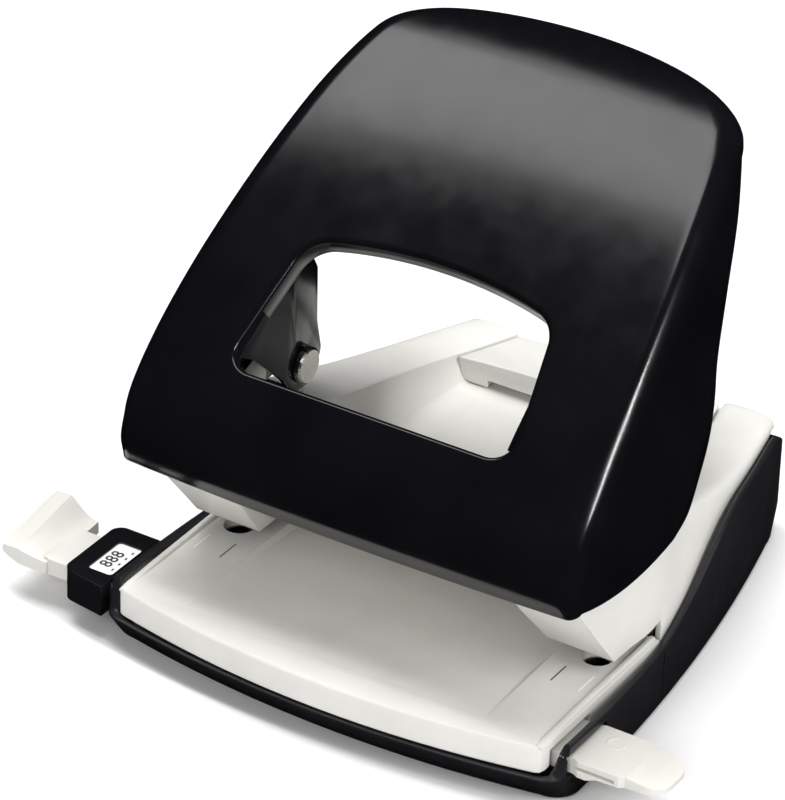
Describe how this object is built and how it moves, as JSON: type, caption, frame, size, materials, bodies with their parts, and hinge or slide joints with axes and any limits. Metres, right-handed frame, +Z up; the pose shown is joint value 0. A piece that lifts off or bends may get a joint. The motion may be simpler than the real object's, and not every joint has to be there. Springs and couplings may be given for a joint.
{
  "type": "two-hole desk paper punch",
  "caption": "Desk paper punch for two holes: arched black lever with a window, light grey body, sliding paper guide with scale display and hinged chip tray.",
  "frame": {"origin": "point on the desk midway between the two punch axes", "axes": "+X to the right along the line of the two holes, +Y from the front mouth to the back, +Z up"},
  "size_m": [0.1455, 0.1166, 0.1085],
  "materials": {
    "body_black": "black satin moulded plastic",
    "body_grey": "light warm grey satin moulded plastic",
    "lever_black": "gloss black baked enamel on pressed steel",
    "pin_steel": "satin nickel plated steel",
    "sheet_steel": "zinc plated sheet steel",
    "spring_steel": "drawn spring wire and strip",
    "sole_rubber": "matt black rubber",
    "scale_white": "white printed plastic strip"
  },
  "bodies": {
    "base": {"base_shell": "body_black", "platform_plate": "body_grey", "housing": "body_grey", "center_deck": "body_grey", "chassis_plate": "sheet_steel", "scale_housing": "body_black", "detent_spring": "spring_steel", "tray_hinge_pin": "sheet_steel", "die_left": "pin_steel", "die_right": "pin_steel", "bracket_left": "sheet_steel", "bracket_right": "sheet_steel", "bracket_foot_left": "sheet_steel", "bracket_foot_right": "sheet_steel", "bracket_screw_inner_left": "sheet_steel", "bracket_screw_inner_right": "sheet_steel", "bracket_screw_outer_left": "sheet_steel", "bracket_screw_outer_right": "sheet_steel", "housing_screw_front_left": "sheet_steel", "housing_screw_front_right": "sheet_steel", "housing_screw_rear_left": "sheet_steel", "housing_screw_rear_right": "sheet_steel", "return_spring_left": "spring_steel", "return_spring_right": "spring_steel"},
    "handle": {"handle_shell": "lever_black", "handle_lug_left": "sheet_steel", "handle_lug_right": "sheet_steel", "fulcrum_pin_left": "pin_steel", "fulcrum_pin_right": "pin_steel", "drive_pin_left": "pin_steel", "drive_pin_right": "pin_steel", "drive_clip_left": "spring_steel", "drive_clip_right": "spring_steel"},
    "punch_left": {"punch_pin_left": "pin_steel", "crosshead_left": "sheet_steel", "spring_washer_left": "sheet_steel"},
    "punch_right": {"punch_pin_right": "pin_steel", "crosshead_right": "sheet_steel", "spring_washer_right": "sheet_steel"},
    "paper_guide": {"guide_rail": "body_grey", "guide_stop": "body_grey", "scale_strip": "scale_white"},
    "chip_tray": {"chip_tray": "body_black", "grip_sole": "sole_rubber"}
  },
  "joints": [
    {"name": "handle_hinge", "type": "hinge", "parent": "base", "child": "handle", "pos_m": [0, -0.016, 0.044], "axis": [-1, 0, 0], "range_deg": [0, 26], "stiffness_Nm_per_rad": 0.4, "springref_deg": -28.65},
    {"name": "guide_slide", "type": "slide", "parent": "base", "child": "paper_guide", "axis": [-1, 0, 0], "range_m": [0, 0.06]},
    {"name": "tray_hinge", "type": "hinge", "parent": "base", "child": "chip_tray", "pos_m": [0, 0.0695, 0.0044], "axis": [1, 0, 0], "range_deg": [0, 70]},
    {"name": "punch_left_slide", "type": "slide", "parent": "base", "child": "punch_left", "axis": [0, 0, -1], "range_m": [0, 0.0096], "deforming": ["return_spring_left"]},
    {"name": "punch_right_slide", "type": "slide", "parent": "base", "child": "punch_right", "axis": [0, 0, -1], "range_m": [0, 0.0096], "deforming": ["return_spring_right"]}
  ],
  "couplings": [
    {"joint": "punch_left_slide", "follows": "handle_hinge", "m_per_rad": 0.0209},
    {"joint": "punch_right_slide", "follows": "handle_hinge", "m_per_rad": 0.0209}
  ]
}
